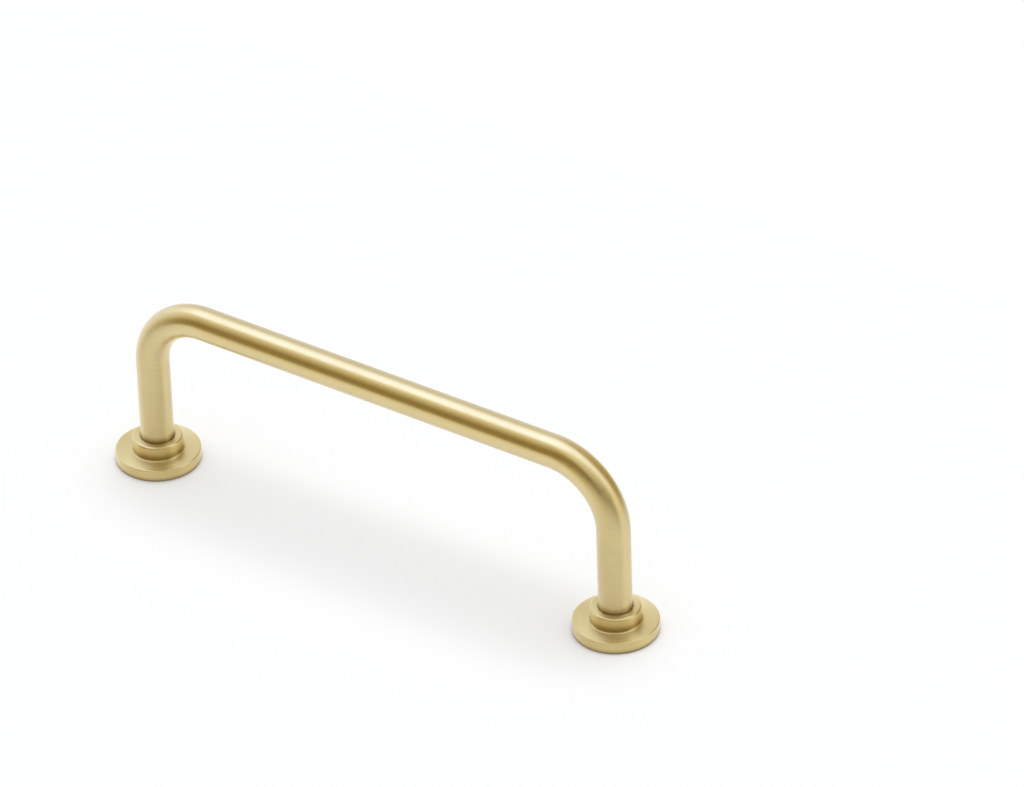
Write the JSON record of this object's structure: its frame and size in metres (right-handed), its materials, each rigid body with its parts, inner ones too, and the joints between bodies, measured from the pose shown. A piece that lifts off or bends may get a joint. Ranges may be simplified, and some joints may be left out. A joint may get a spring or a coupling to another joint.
{
  "type": "arch pull",
  "caption": "Arch pull for a drawer or cupboard door: a satin brass rod bent to an arch, each foot seated in a stepped round rose, tapped for a screw from behind.",
  "frame": {"origin": "midway between the two screw axes, on the face that the roses stand on", "axes": "+X along the bar, +Y across it, +Z away from the drawer front, towards the bar"},
  "size_m": [0.111, 0.015, 0.0353],
  "materials": {
    "bar_brass": "satin",
    "rose_brass": "satin"
  },
  "bodies": {
    "root": {"bar": "bar_brass", "rose_left": "rose_brass", "rose_right": "rose_brass"}
  },
  "joints": []
}
